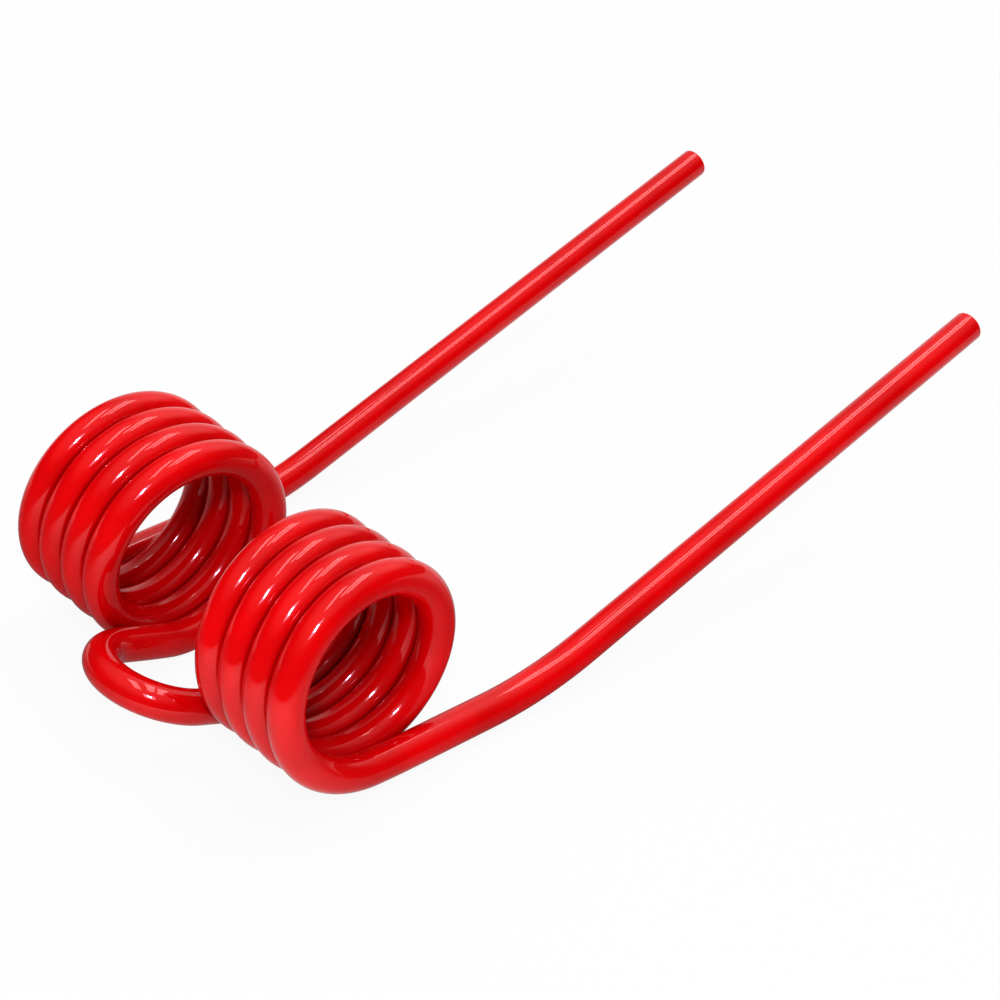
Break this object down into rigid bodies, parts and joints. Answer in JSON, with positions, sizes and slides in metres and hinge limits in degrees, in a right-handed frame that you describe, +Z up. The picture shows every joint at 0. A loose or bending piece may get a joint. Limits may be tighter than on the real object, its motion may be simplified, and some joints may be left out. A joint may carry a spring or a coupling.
{
  "type": "baler pick-up tine",
  "caption": "Double spring tine of round wire: straight tines, close-wound coils of opposite hand and a U loop between them.",
  "frame": {"origin": "midway between the two coils, level with the centres of their inner turns, where the tine bar passes", "axes": "+X towards the right coil, +Y the way the tines point, +Z up, as the tine lies on a floor"},
  "size_m": [0.0839, 0.1854, 0.0411],
  "materials": {
    "red_paint": "thick high-gloss red paint over spring steel wire"
  },
  "bodies": {
    "root": {"tine_wire": "red_paint"}
  },
  "joints": []
}
